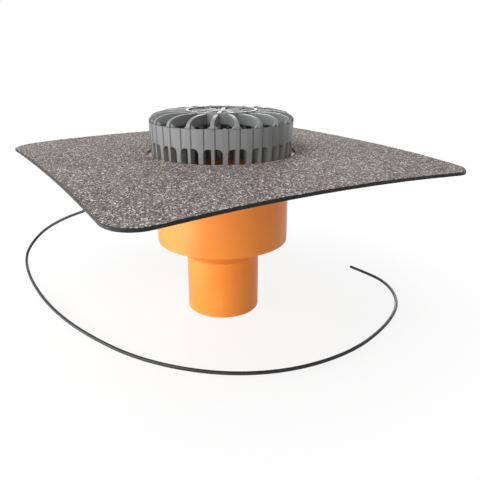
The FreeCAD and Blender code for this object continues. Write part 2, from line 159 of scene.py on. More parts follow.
class Finish(Nodes):
    # A procedural material on the Principled shader; fixed holds the sockets that don't vary
    def __init__(self, name, fixed):
        self.material = bpy.data.materials.new(name)
        self.material.use_nodes = True
        super().__init__(self.material.node_tree)
        self.shader = self.tree.nodes["Principled BSDF"]
        for socket, value in fixed.items():
            self.shader.inputs[socket].default_value = value
        self.place = self.node("ShaderNodeTexCoord", output="Object")

    def feed(self, socket, value):
        self.tree.links.new(value.socket, self.shader.inputs[socket])

    def noise(self, scale, detail=3.0, rough=0.5, place=None, output=0):
        sockets = {
            "Vector": place or self.place,
            "Scale": scale,
            "Detail": detail,
            "Roughness": rough,
        }
        return self.node("ShaderNodeTexNoise", sockets=sockets, output=output)

    def cells(self, scale, output, feature="F1", place=None):
        sockets = {"Vector": place or self.place, "Scale": scale}
        return self.node("ShaderNodeTexVoronoi", {"feature": feature}, sockets, output)

    def stretched(self, scale):
        return self.node("ShaderNodeMapping", sockets={"Vector": self.place, "Scale": scale})

    def axis(self, vector, name):
        return self.node("ShaderNodeSeparateXYZ", sockets={0: vector}, output=name)

    def fromAxis(self):
        # Distance from the drain's axis
        sockets = {0: self.place, 1: (1.0, 1.0, 0.0)}
        flat = self.node("ShaderNodeVectorMath", {"operation": "MULTIPLY"}, sockets)
        return self.node("ShaderNodeVectorMath", {"operation": "LENGTH"}, {0: flat}, "Value")

    def turnWithin(self, pitch):
        # Angle about the drain's axis, from 0 to pitch and then from 0 again
        across, along = self.axis(self.place, "X"), self.axis(self.place, "Y")
        return along.maths("WRAP", along.maths("ARCTAN2", along, across), pitch, 0.0)

    def ramp(self, value, stops):
        return self.node("ShaderNodeValToRGB", {"stops": stops}, {0: value})

    def blend(self, factor, first, second):
        # The numbers are the sockets of the node's colour form
        sockets = {0: factor, 6: first, 7: second}
        return self.node("ShaderNodeMix", {"data_type": "RGBA"}, sockets, 2)

    def bump(self, height, distance, strength):
        sockets = {"Height": height, "Distance": distance, "Strength": strength}
        return self.node("ShaderNodeBump", sockets=sockets)


# Materials that several pieces share, and those of the small pieces

def rubberLike(name, low, high, rough, specular=0.4):
    finish = Finish(name, {"Roughness": rough, "Specular IOR Level": specular})
    cloud = finish.noise(120, 4).between(0.3, 0.7)
    finish.feed("Base Color", finish.blend(cloud, low, high))
    finish.feed("Roughness", rough - 0.06 + 0.12 * cloud)
    finish.feed("Normal", finish.bump(finish.noise(1500, 2), 0.1 * mm, 0.3))
    return finish


def foam():
    finish = Finish("foam", {"Roughness": 0.9, "Specular IOR Level": 0.2})
    cell = finish.cells(900, "Distance")
    finish.feed("Base Color", finish.blend(cell, tone(214, 200, 158), tone(236, 226, 190)))
    finish.feed("Normal", finish.bump(cell, 0.4 * mm, 0.6))
    return finish


finishes = {
    "cable": rubberLike("cableSheath", tone(26, 26, 28), tone(38, 38, 40), 0.42, 0.36),
    "gland": rubberLike("glandPlastic", tone(36, 36, 38), tone(48, 48, 50), 0.4),
    "seal": rubberLike("sealRubber", tone(22, 22, 22), tone(34, 34, 34), 0.6),
    "heater": rubberLike("heaterSilicone", tone(150, 66, 40), tone(170, 80, 52), 0.55),
    "foam": foam(),
}
print("shared materials made:", len(finishes))


# Cable: nearly the same route as the part's, as the control points of one smooth line

cable = {
    "thickness": 5 * mm,
    "length": 1504 * mm,
    "glandTurn": math.radians(110),
    "glandHeight": 155 * mm,
    "exitRadius": 124.3 * mm,
    "firstRun": 48 * mm,
    "fall": [
        # mm, from the gland down to the ground
        (-82, 214, 141),
        (-104, 260, 120),
        (-127, 307, 96),
        (-154, 361, 72),
        (-194, 388, 45),
        (-228, 369, 19),
        (-238, 344, 4.5),
    ],
    "ground": [
        # mm, where it lies on the ground
        (-244, 298),
        (-247.5, 246),
        (-247.5, 194),
        (-245, 140),
        (-238, 84),
        (-226, 28),
        (-209, -27),
        (-187, -80),
        (-157, -127),
        (-120, -167),
        (-78, -197),
        (-29, -217),
        (26, -225),
        (84, -221),
        (140, -204),
        (190, -181),
        (231, -153),
        (261, -116),
        (278.5, -74),
        (279.5, -36),
        (275, 5),
    ],
    "lineSteps": 10,
    "roundSteps": 5,
}


def makeCable(values):
    # A round tube along one smooth quadratic line that its control points lead: straight out of the
    # gland, down the fall, and then along the ground at half the thickness
    outward = np.array([math.cos(values["glandTurn"]), math.sin(values["glandTurn"]), 0])
    lift = np.array([0, 0, values["glandHeight"]])
    reaches = np.array([values["exitRadius"], values["exitRadius"] + values["firstRun"]])
    straight = reaches[:, None] * outward + lift
    ground = np.array(values["ground"]) * mm
    ground = np.column_stack([ground, np.full(len(ground), values["thickness"] / 2)])
    points = np.concatenate([straight, np.array(values["fall"]) * mm, ground])
    curve = bpy.data.curves.new("connectionCable", "CURVE")
    curve.dimensions = "3D"
    line = curve.splines.new("NURBS")
    line.points.add(len(points) - 1)
    line.points.foreach_set("co", np.column_stack([points, np.ones(len(points))]).ravel())
    line.order_u = 3
    line.use_endpoint_u = True
    line.resolution_u = values["lineSteps"]
    curve.bevel_depth = values["thickness"] / 2
    curve.bevel_resolution = values["roundSteps"]
    curve.use_fill_caps = True
    curve.materials.append(finishes["cable"].material)
    piece = bpy.data.objects.new("connectionCable", curve)
    bpy.context.scene.collection.objects.link(piece)
    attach(piece, "root")
    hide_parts("connection_cable")


makeCable(cable)
print("cable laid")


# Surfaces as whole arrays

def roundedOutline(corners, steps=5, support=0.4 * mm):
    # Closed outline through (a, b, radius) corners. A rounded corner is an arc that touches both
    # sides: its centre lies radius / sin(half angle) along the bisector, and its points turn evenly
    # from one touching point to the other. One more point on the flat at each end of an arc,
    # support away from it, keeps the shading of the flat plain.
    corners = np.array(corners, float)
    here, radius = corners[:, :2], corners[:, 2]
    back = np.roll(here, 1, 0) - here
    ahead = np.roll(here, -1, 0) - here
    back /= np.linalg.norm(back, axis=1)[:, None]
    ahead /= np.linalg.norm(ahead, axis=1)[:, None]
    half = np.arccos(np.clip((back * ahead).sum(1), -1, 1)) / 2
    reach = radius / np.tan(half)
    bisector = back + ahead
    bisector /= np.linalg.norm(bisector, axis=1)[:, None]
    centre = here + bisector * (radius / np.sin(half))[:, None]
    start = here + back * reach[:, None] - centre
    end = here + ahead * reach[:, None] - centre
    sweep = (math.pi - 2 * half)[:, None, None]
    share = np.linspace(0, 1, steps + 1)[None, :, None]
    arc = start[:, None] * np.sin((1 - share) * sweep) + end[:, None] * np.sin(share * sweep)
    arc = centre[:, None] + arc / np.sin(sweep)
    beyond = (reach + support * (radius > 0))[:, None]
    before, after = (here + back * beyond)[:, None], (here + ahead * beyond)[:, None]
    outline = np.concatenate([before, arc, after], 1).reshape(-1, 2)
    apart = np.linalg.norm(outline - np.roll(outline, 1, 0), axis=1)
    return outline[apart > samePoint / 10]


def shell(grid, wrapRows=True, wrapColumns=True):
    # Quads between neighbouring points of a grid. The sum of the signed volumes under the faces
    # tells which way they point, and they are turned outwards where it is negative.
    rows, columns = grid.shape[:2]
    index = np.arange(rows * columns).reshape(rows, columns)
    if wrapRows:
        index = np.concatenate([index, index[:1]], 0)
    if wrapColumns:
        index = np.concatenate([index, index[:, :1]], 1)
    quads = [index[:-1, :-1], index[:-1, 1:], index[1:, 1:], index[1:, :-1]]
    quads = np.stack(quads, -1).reshape(-1, 4)
    points = grid.reshape(-1, 3)
    first, second, third, fourth = (points[quads[:, corner]] for corner in range(4))
    volume = (np.cross(first, second) * third).sum() + (np.cross(first, third) * fourth).sum()
    return points, quads if volume > 0 else quads[:, ::-1]


def turned(outline, count=240):
    # Outline of (radius, height) points carried round the axis: (r cos t, r sin t, z) for count
    # even turns t
    turn = np.linspace(0, fullTurn, count, endpoint=False)
    radius, height = outline.T
    grid = np.stack([np.outer(radius, np.cos(turn)), np.outer(radius, np.sin(turn)),
                     np.outer(height, np.ones(count))], -1)
    return shell(grid)


def slab(outline, low, high, order, edge=0.3 * mm):
    # Flat convex outline carried straight from low to high along its third direction. Its ends are
    # drawn in by edge towards the middle, for a small bevel, and close on the middle. order gives
    # the outline's two directions and the third, 0 to 2 for X to Z.
    middle = outline.mean(0)
    inward = middle - outline
    inset = outline + inward / np.linalg.norm(inward, axis=1)[:, None] * edge
    centre = np.broadcast_to(middle, outline.shape)
    flats = np.stack([centre, inset, outline, outline, inset, centre])
    depths = np.array([low, low, low + edge, high - edge, high, high])
    grid = np.empty((*flats.shape[:2], 3))
    grid[..., order[0]] = flats[..., 0]
    grid[..., order[1]] = flats[..., 1]
    grid[..., order[2]] = depths[:, None]
    return shell(grid, wrapRows=False)


def turnedCopies(part, turns):
    # The same shell turned about the axis by each of the angles t, all in one:
    # (x cos t - y sin t, x sin t + y cos t, z)
    points, quads = part
    cosine, sine = np.cos(turns)[:, None], np.sin(turns)[:, None]
    x, y, z = points.T
    copies = np.stack([x * cosine - y * sine, x * sine + y * cosine, z + 0 * cosine], -1)
    starts = len(points) * np.arange(len(turns))
    return copies.reshape(-1, 3), (quads[None] + starts[:, None, None]).reshape(-1, 4)


def makePiece(name, shells, materials, node, sharp=38.0, slots=None):
    # Joins the shells into one mesh, merges the doubles at poles and seams, and puts it in node's
    # place. slots gives the number of each face's material, and sharp the angle in degrees past
    # which an edge isn't smooth.
    starts = np.cumsum([0] + [len(part[0]) for part in shells[:-1]])
    points = np.concatenate([part[0] for part in shells])
    quads = np.concatenate([part[1] + start for part, start in zip(shells, starts)])
    mesh = bpy.data.meshes.new(name)
    mesh.from_pydata(points, [], quads.tolist())
    for finish in materials:
        mesh.materials.append(finish.material)
    if slots is not None:
        mesh.polygons.foreach_set("material_index", slots.astype(np.int32))
    work = bmesh.new()
    work.from_mesh(mesh)
    bmesh.ops.remove_doubles(work, verts=work.verts[:], dist=samePoint)
    work.to_mesh(mesh)
    work.free()
    mesh.polygons.foreach_set("use_smooth", np.ones(len(mesh.polygons), bool))
    mesh.set_sharp_from_angle(angle=math.radians(sharp))
    piece = bpy.data.objects.new(name, mesh)
    bpy.context.scene.collection.objects.link(piece)
    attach(piece, "root")
    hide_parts(node)
    print(name, "made:", len(mesh.polygons), "faces")


# Drain body

body = {
    "spigotRadius": 55 * mm,
    "spigotLength": 87 * mm,
    "spigotChamfer": 1.5 * mm,
    "chamferEdges": (0.3 * mm, 0.5 * mm),
    "neckRadius": 71.5 * mm,
    "neckRise": 14 * mm,
    "shellRadius": 98 * mm,
    "shoulderRise": 11 * mm,
    "wall": 3.2 * mm,
    "flangeRadius": 150 * mm,
    "flangeTop": 240 * mm,
    "flangeThickness": 5 * mm,
    "flangeFillet": 5 * mm,
    "edge": 1 * mm,
    "fineEdge": 0.4 * mm,
    "ledgeDepth": 46.5 * mm,
    "ledgeWidth": 6 * mm,
    "ledgeThickness": 5 * mm,
    "glandTurn": math.radians(110),
    "glandHeight": 155 * mm,
    "bossRadius": 15 * mm,
    "bossProud": 2.5 * mm,
    "bossInside": 2 * mm,
    "bossHole": 8.2 * mm,
    "bossEdge": 0.5 * mm,
    "holeEdge": 0.2 * mm,
    "steps": 288,
    "bossSteps": 96,
    # height above which painted shade darkens the mouth's inner wall
    "paintedShadeFoot": 120 * mm,
}
orangeTones = {
    "plain": tone(240, 139, 49),
    "pale": tone(246, 150, 61),
    "deep": tone(228, 123, 39),
    "rubbed": tone(248, 180, 110),
    # painted shade for the mouth's inner wall
    "inside": tone(166, 106, 62),
    # painted pale glare for the flange's top in the collar's hole
    "paintedGlare": tone(244, 208, 190),
    # painted shade for the slope under the shell's shoulder
    "neckShade": tone(186, 90, 34),
}
# the last share is of painted shade under the shoulder
orangeShares = {"deep": 0.35, "rubbed": 0.18, "neckShade": 0.4}


def orangePlastic(values):
    finish = Finish("orangePlastic", {"Roughness": 0.42, "Specular IOR Level": 0.36})
    cloud = finish.noise(9, 3).between(0.35, 0.65)
    colour = finish.blend(cloud, orangeTones["plain"], orangeTones["pale"])
    flow = finish.noise(6, 4, 0.6, finish.stretched((1, 1, 0.15))).between(0.5, 0.75)
    colour = finish.blend(flow * orangeShares["deep"], colour, orangeTones["deep"])
    scuff = finish.noise(55, 5, 0.7, finish.stretched((1, 1, 3))).between(0.66, 0.74)
    colour = finish.blend(scuff * orangeShares["rubbed"], colour, orangeTones["rubbed"])
    # Painted shade darkens the mouth's inner wall, and a painted pale glare lights the flange's top
    # in the collar's hole
    radius, height = finish.fromAxis(), finish.axis(finish.place, "Z")
    mouth, foot = values["shellRadius"] - values["wall"], values["paintedShadeFoot"]
    inside = radius.between(mouth + 1.4 * mm, mouth + 0.4 * mm)
    inside = inside * height.between(foot, foot + 5 * mm)
    colour = finish.blend(inside, colour, orangeTones["inside"])
    rim, top = values["shellRadius"] + 1 * mm, values["flangeTop"]
    # painted pale glare on the flange's top where the collar's hole leaves it open
    paintedGlare = radius.between(rim, rim + 1 * mm) * height.between(top - 0.6 * mm, top - 0.2 * mm)
    colour = finish.blend(paintedGlare, colour, orangeTones["paintedGlare"])
    # Painted shade: the slope from spigot to neck, under the shell's shoulder, is darker than the
    # walls
    low = values["spigotLength"] + 1 * mm
    neckShade = height.within(low, low + values["neckRise"], 3 * mm)
    colour = finish.blend(neckShade * orangeShares["neckShade"], colour, orangeTones["neckShade"])
    finish.feed("Base Color", colour)
    finish.feed("Roughness", 0.38 + 0.10 * cloud + 0.12 * scuff)
    grain = finish.noise(900, 2) * 0.5 + finish.noise(60, 3) * 0.5
    finish.feed("Normal", finish.bump(grain, 0.12 * mm, 0.35))
    return finish


def makeBody(values):
    # Two closed outlines carried round: the body round the drain's axis, and the gland's boss round
    # its own, which points outward at glandTurn
    wall, edge, fine = values["wall"], values["edge"], values["fineEdge"]
    spigot, chamfer = values["spigotRadius"], values["spigotChamfer"]
    belowChamfer, aboveChamfer = values["chamferEdges"]
    bore = spigot - wall
    mouth = values["shellRadius"] - wall
    neckTop = values["spigotLength"] + values["neckRise"]
    shellBottom = neckTop + values["shoulderRise"]
    top = values["flangeTop"]
    flangeLow = top - values["flangeThickness"]
    ledge = top - values["ledgeDepth"]
    ledgeLow = ledge - values["ledgeThickness"]
    ledgeInner = mouth - values["ledgeWidth"]
    outline = roundedOutline([
        (bore, 0, 0),
        (spigot - chamfer, 0, belowChamfer),
        (spigot, chamfer, aboveChamfer),
        (spigot, values["spigotLength"], edge),
        (values["neckRadius"], neckTop, wall),
        (values["shellRadius"], shellBottom, edge),
        (values["shellRadius"], flangeLow, values["flangeFillet"]),
        (values["flangeRadius"], flangeLow, edge),
        (values["flangeRadius"], top, fine),
        (mouth, top, edge),
        (mouth, ledge, 0),
        (ledgeInner, ledge, fine),
        (ledgeInner, ledgeLow, 0),
        (mouth, ledgeLow - values["ledgeWidth"], 0),
        (mouth, shellBottom + wall, edge),
        (values["neckRadius"] - wall / 2, neckTop + wall, wall),
        (bore, values["spigotLength"] + wall / 2, edge),
    ])
    bossStart = mouth - values["bossInside"]
    bossEnd = values["shellRadius"] + values["bossProud"]
    boss = roundedOutline([
        (values["bossHole"], bossStart, 0),
        (values["bossRadius"], bossStart, fine),
        (values["bossRadius"], bossEnd, values["bossEdge"]),
        (values["bossHole"], bossEnd, values["holeEdge"]),
    ])
    points, quads = turned(boss, values["bossSteps"])
    turn = values["glandTurn"]
    across, outward, up = np.array([
        [math.sin(turn), -math.cos(turn), 0],
        [math.cos(turn), math.sin(turn), 0],
        [0, 0, 1],
    ])
    lift = np.array([0, 0, values["glandHeight"]])
    points = points[:, :1] * across + points[:, 1:2] * up + points[:, 2:] * outward + lift
    shells = [turned(outline, values["steps"]), (points, quads)]
    makePiece("drainBody", shells, [orangePlastic(values)], "drain_body")


makeBody(body)


# Funnel insert, seen through the leaf guard

funnel = {
    "radius": 76 * mm,
    "wall": 2.4 * mm,
    "rimRadius": 94.5 * mm,
    "rimUnderside": 195 * mm,
    "rimThickness": 3 * mm,
    "edge": 0.3 * mm,
    "coneTop": 126 * mm,
    "coneFoot": 108 * mm,
    "outletRadius": 49.5 * mm,
    "outletEnd": 70 * mm,
    "grooveDepth": 0.8 * mm,
    "grooveLow": 76 * mm,
    "grooveHigh": 84 * mm,
}
# the body's orange darkened as painted shade for its place deep inside
funnelShadedTones = {"plain": tone(140, 84, 46), "pale": tone(166, 102, 58), "streak": tone(104, 64, 40)}


def funnelPlastic():
    # Body plastic darkened as painted shade deep inside; darker, duller streaks where water and
    # dirt run
    finish = Finish("funnelPlastic", {"Roughness": 0.6, "Specular IOR Level": 0.3})
    cloud = finish.noise(30, 4).between(0.3, 0.7)
    colour = finish.blend(cloud, funnelShadedTones["plain"], funnelShadedTones["pale"])
    streak = finish.noise(60, 4, 0.6, finish.stretched((1, 1, 0.1))).between(0.5, 0.75)
    finish.feed("Base Color", finish.blend(streak * 0.5, colour, funnelShadedTones["streak"]))
    finish.feed("Roughness", 0.5 + 0.2 * streak)
    finish.feed("Normal", finish.bump(finish.noise(700, 3), 0.1 * mm, 0.3))
    return finish


def makeFunnel(values):
    # One closed outline carried round the axis
    wall, edge = values["wall"], values["edge"]
    outlet, outer = values["outletRadius"], values["radius"]
    rimTop = values["rimUnderside"] + values["rimThickness"]
    groove = outlet - values["grooveDepth"]
    outline = roundedOutline([
        (outlet - wall, values["outletEnd"], edge),
        (outlet, values["outletEnd"], edge),
        (outlet, values["grooveLow"], 0),
        (groove, values["grooveLow"], 0),
        (groove, values["grooveHigh"], 0),
        (outlet, values["grooveHigh"], 0),
        (outlet, values["coneFoot"], wall),
        (outer, values["coneTop"], wall),
        (outer, values["rimUnderside"], 0),
        (values["rimRadius"], values["rimUnderside"], edge),
        (values["rimRadius"], rimTop, edge),
        (outer - wall, rimTop, wall),
        (outer - wall, values["coneTop"] + wall / 2, wall),
        (outlet - wall, values["coneFoot"] + wall / 2, wall),
    ])
    makePiece("funnelInsert", [turned(outline)], [funnelPlastic()],
              "funnel_insert")


makeFunnel(funnel)


# Membrane collar

collar = {
    "half": 250 * mm,
    "corner": 40 * mm,
    "thickness": 5.2 * mm,
    "hole": 107.4 * mm,
    "flat": 150 * mm,
    "droop": 1980 * mm,
    "sagX": 0.003,
    "sagY": 0.0085,
    "sagReach": 100 * mm,
    "sagMost": 1.6,
    "edge": 0.8 * mm,
    "columns": 840,
    "rows": 104,
    "underEach": 13,  # the underside has one of so many rows
    "grit": 0.5 * mm,
    "gritRange": (-1, 0.2),
    "ragged": 0.35 * mm,
    "seed": 11,
}
chips = {
    "small": 800,
    "large": 500,
    "largeFrom": (0.62, 0.66),
    "bend": 2.2 * mm,
    "gapWidth": 0.10,
    "gapShare": 0.55,
    "gapTone": tone(40, 36, 36),
    "patchShare": 0.16,
    "patchTones": (tone(96, 88, 86), tone(148, 138, 132)),
    # Kinds of slate by the share of the surface that each covers
    "kinds": [
        (0.00, tone(16, 13, 15)),
        (0.18, tone(34, 28, 30)),
        (0.34, tone(60, 52, 54)),
        (0.50, tone(96, 87, 86)),
        (0.64, tone(138, 124, 116)),
        (0.74, tone(184, 153, 130)),
        (0.82, tone(136, 141, 152)),
        (0.90, tone(226, 215, 205)),
        (1.00, tone(255, 252, 246)),
    ],
}


def slate(values):
    # Small chips with some large ones over them, dark gaps between the small ones, and broad
    # patches. A cell's random colour gives three numbers: its kind of chip, height and gloss.
    finish = Finish("slate", {"Roughness": 0.8, "Specular IOR Level": 0.8})
    warp = finish.noise(260, 2, output="Color")
    bent = finish.node("ShaderNodeVectorMath", {"operation": "MULTIPLY_ADD"},
                       {0: warp, 1: (values["bend"], values["bend"], 0.0), 2: finish.place})
    small = finish.cells(values["small"], "Color", place=bent)
    large = finish.cells(values["large"], "Color", place=bent)
    smallChips = finish.ramp(finish.axis(small, "X"), values["kinds"])
    largeChips = finish.ramp(finish.axis(large, "Y"), values["kinds"])
    isLarge = finish.axis(large, "X").between(*values["largeFrom"])
    colour = finish.blend(isLarge, smallChips, largeChips)
    toEdge = finish.cells(values["small"], "Distance", "DISTANCE_TO_EDGE", bent)
    gap = toEdge.between(values["gapWidth"], 0.0)
    colour = finish.blend(gap * (1 - isLarge) * values["gapShare"], colour, values["gapTone"])
    patch = finish.noise(11, 4, 0.6).between(0.3, 0.7)
    colour = finish.blend(values["patchShare"], colour, finish.blend(patch, *values["patchTones"]))
    finish.feed("Base Color", colour)
    finish.feed("Roughness", 0.88 - 0.4 * finish.axis(small, "Z").between(0.7, 1.0))
    relief = finish.axis(small, "Y") * 0.8 - finish.cells(values["small"], "Distance", place=bent)
    finish.feed("Normal", finish.bump(relief, 0.8 * mm, 0.5))
    return finish


def bitumen():
    finish = Finish("bitumen", {"Roughness": 0.5, "Specular IOR Level": 0.3})
    cloud = finish.noise(40, 4).between(0.3, 0.7)
    finish.feed("Base Color", finish.blend(cloud, tone(14, 14, 15), tone(26, 26, 27)))
    finish.feed("Roughness", 0.42 + 0.2 * cloud)
    cut = finish.noise(420, 3, 0.6, finish.stretched((1, 1, 5)))
    finish.feed("Normal", finish.bump(cut, 0.4 * mm, 0.35))
    return finish


def squareReach(turn, half, corner):
    # Distance from the middle of a rounded square to its edge along each angle: half / max(|cos|,
    # |sin|) on its sides, and in a corner the far crossing of the line with the circle of the
    # corner's radius
    cosine, sine = np.abs(np.cos(turn)), np.abs(np.sin(turn))
    side = half / np.maximum(cosine, sine)
    centre = half - corner
    along = centre * (cosine + sine)
    inside = along ** 2 - 2 * centre ** 2 + corner ** 2
    arc = along + np.sqrt(np.maximum(inside, 0))
    inCorner = (side * cosine > centre) & (side * sine > centre)
    return np.where(inCorner, arc, side)


def makeCollar(values):
    # Top and underside: (r cos t, r sin t) with r from the hole to the rounded square. The height
    # falls by droop - sqrt(droop^2 - past^2), past being the way beyond the flange, r - flat. It
    # also changes by (sagX x + sagY y) times past / sagReach, up to sagMost, so that it sags more
    # towards the front left. Two rows at the outer edge and two at the hole join the two faces.
    turn = np.linspace(0, fullTurn, values["columns"], endpoint=False)
    reach = squareReach(turn, values["half"], values["corner"])
    hole, edge, thickness = values["hole"], values["edge"], values["thickness"]
    share = np.linspace(0, 1, values["rows"])[:, None]
    top = body["flangeTop"] + thickness

    def surface(radius, level):
        past = np.maximum(radius - values["flat"], 0)
        height = level - values["droop"] + np.sqrt(values["droop"] ** 2 - past ** 2)
        x, y = radius * np.cos(turn), radius * np.sin(turn)
        slope = np.minimum(past / values["sagReach"], values["sagMost"])
        height = height + (values["sagX"] * x + values["sagY"] * y) * slope
        return np.stack([x, y, height], -1)

    inner, outer = hole + edge, reach - edge
    upper = surface(inner + (outer - inner) * share, top)
    random = np.random.default_rng(values["seed"])
    upper[..., 2] += random.uniform(*values["gritRange"], upper.shape[:2]) * values["grit"]
    lower = surface(inner + (outer - inner) * share[::values["underEach"]][::-1], top - thickness)
    ragged = reach - random.uniform(0, values["ragged"], len(turn))
    circle = hole + 0 * turn
    rim = [surface(ragged, top - edge), surface(ragged, top - thickness + edge)]
    bore = [surface(circle, top - thickness + edge), surface(circle, top - edge)]
    grid = np.concatenate([upper, np.array(rim), lower, np.array(bore)])
    slots = np.ones((len(grid), len(turn)))
    slots[:len(upper) - 1] = 0
    slots[-len(bore):] = 0
    makePiece("membraneCollar", [shell(grid)], [slate(chips), bitumen()],
              "membrane_collar", slots=slots.ravel())


makeCollar(collar)


# Leaf guard

guard = {
    "foot": 240 * mm,
    "height": 48.6 * mm,
    "footRadius": 101.8 * mm,
    "draft": 1.4 * mm,
    "wall": 3 * mm,
    "relief": 0.8 * mm,
    "ribStrip": math.radians(3.1),
    "midStrip": math.radians(4.8),
    "stripSlope": math.radians(0.45),
    "rounding": 0.6 * mm,
    "fineEdge": 0.3 * mm,
    "edge": 0.5 * mm,
    "wallSteps": 14,
    "slotSteps": 8,
    "bendSteps": 6,
    "blades": 20,
    "bladeThickness": 5 * mm,
    "bladeStraight": 2.6 * mm,
    "bladeRounding": 0.6 * mm,
    "bladeShoulder": 0.4 * mm,
    "bladeSteps": 26,
    "domeRise": 13.9 * mm,
    "domeFlat": 72 * mm,
    "finDepth": 12 * mm,
    "ribFin": 4.4 * mm,
    "midFin": 6.6 * mm,
    "midShift": math.radians(0.2),
    "slotWidth": 10.8 * mm,
    "slotHeight": 23.3 * mm,
    "slotSmall": 2.3 * mm,
    "slotLarge": 7 * mm,
    "skirtRadius": 94.2 * mm,
    "skirtWall": 3.2 * mm,
    "skirtDepth": 24 * mm,
    "ringRadius": 51.5 * mm,
    "ringWall": 4.4 * mm,
    "ringStand": 1.6 * mm,
    "ringSteps": 144,
    "hubRadius": 9.5 * mm,
    "hubSteps": 72,
    "wideEdge": 1 * mm,
    "gussetReach": 5 * mm,
    "gussetDepth": 4 * mm,
    "gussetRise": 4.5 * mm,
    "gussetLap": 1 * mm,
    "turn": math.radians(0.45),
    # Painted shade: its bays between the fins, as angles from a rib, and the radii over which it
    # sets in
    "bays": ((math.radians(1.8), math.radians(7.7)), (math.radians(11.6), math.radians(17.1))),
    "bayShadeRadii": (100.5 * mm, 98.5 * mm),
    # radii over which the painted shade further down inside sets in
    "insideRadii": (97 * mm, 84 * mm),
    # The painted shadow line past a strip: angles from the strip's edge at which it starts and ends
    "shadowLineStart": np.array([-0.007, -0.003]),
    "shadowLineEnd": np.array([0.017, 0.009]),
    "shadowLineRadii": (99 * mm, 100 * mm),
}
greyTones = {
    "plain": tone(127, 128, 128),
    "pale": tone(137, 138, 138),
    "deep": tone(114, 115, 115),
    "rubbed": tone(176, 176, 175),
    # painted shade, the tone of the dark line at the rim, of the shaded bays and inside, and of the
    # lines past the strips
    "paintedShade": tone(48, 48, 48),
}
# all but the first two are shares of painted shade
greyShares = {"deep": 0.4, "rubbed": 0.25, "paintedShade": 0.55, "paintedBayShade": 0.8, "inside": 0.3, "line": 0.45}


def greyPlastic(values):
    finish = Finish("greyPlastic", {"Roughness": 0.46, "Specular IOR Level": 0.46})
    cloud = finish.noise(14, 3).between(0.35, 0.65)
    colour = finish.blend(cloud, greyTones["plain"], greyTones["pale"])
    flow = finish.noise(22, 4, 0.6, finish.stretched((1, 1, 0.2))).between(0.5, 0.8)
    colour = finish.blend(flow * greyShares["deep"], colour, greyTones["deep"])
    scuff = finish.noise(120, 5, 0.7).between(0.66, 0.74)
    colour = finish.blend(scuff * greyShares["rubbed"], colour, greyTones["rubbed"])
    # Painted shade: a dark line where the blades rise from the rim
    radius, height = finish.fromAxis(), finish.axis(finish.place, "Z")
    rim = values["foot"] + values["height"]
    paintedShade = height.within(rim - 0.5 * mm, rim + 0.8 * mm, 0.3 * mm)
    colour = finish.blend(paintedShade * greyShares["paintedShade"], colour, greyTones["paintedShade"])
    # Painted shade in the bays behind the rim, and less of it further down inside
    pitch = fullTurn / values["blades"]
    turn = finish.turnWithin(pitch)
    paintedBayShade = radius.between(*values["bayShadeRadii"]) * height.between(rim + 1 * mm, rim - 3 * mm)
    for low, high in values["bays"]:
        bay = turn.within(low, high, 0.01)
        colour = finish.blend(paintedBayShade * bay * greyShares["paintedBayShade"], colour, greyTones["paintedShade"])
    # painted shade, growing further down inside the guard
    inside = radius.between(*values["insideRadii"]) * height.between(rim - 1 * mm, rim - 6 * mm)
    colour = finish.blend(inside * greyShares["inside"], colour, greyTones["paintedShade"])
    # A thin painted shadow line past each strip, where the wall steps back
    wall = radius.between(*values["shadowLineRadii"]) * height.between(rim, rim - 0.5 * mm)
    for strip in (values["ribStrip"] / 2, pitch / 2 + values["midStrip"] / 2):
        edge = strip + values["turn"]
        line = turn.between(*(edge + values["shadowLineStart"]))
        line = line * turn.between(*(edge + values["shadowLineEnd"]))
        colour = finish.blend(line * wall * greyShares["line"], colour, greyTones["paintedShade"])
    finish.feed("Base Color", colour)
    finish.feed("Roughness", 0.42 + 0.08 * cloud + 0.10 * scuff)
    grain = finish.noise(1400, 2) * 0.6 + finish.noise(90, 3) * 0.4
    finish.feed("Normal", finish.bump(grain, 0.1 * mm, 0.4))
    return finish


def slotPlaces(values):
    # The wall's middle radius and the middle angles of a pitch's two slots, which lie halfway
    # between the flanks of the rib's fin and the plain fin
    pitch = fullTurn / values["blades"]
    radius = values["footRadius"] - values["wall"] / 2
    rib = math.asin(values["ribFin"] / 2 / radius)
    mid = math.asin(values["midFin"] / 2 / radius)
    centre = pitch / 2 + values["midShift"]
    return radius, (rib + centre - mid) / 2, (centre + mid + pitch - rib) / 2


def archHeight(across, values):
    # Underside of the wall across a slot: the slot's height, less the fall of a small round corner
    # on one side and of a large one on the other, r - sqrt(r^2 - d^2) with d the way into the
    # corner; 0 beside the slot
    half = values["slotWidth"] / 2
    small, large = values["slotSmall"], values["slotLarge"]
    intoSmall = np.clip(small - half - across, 0, small)
    intoLarge = np.clip(across - half + large, 0, large)
    fall = small - np.sqrt(small ** 2 - intoSmall ** 2)
    fall = fall + large - np.sqrt(large ** 2 - intoLarge ** 2)
    return np.where(np.abs(across) < half, values["slotHeight"] - fall, 0)


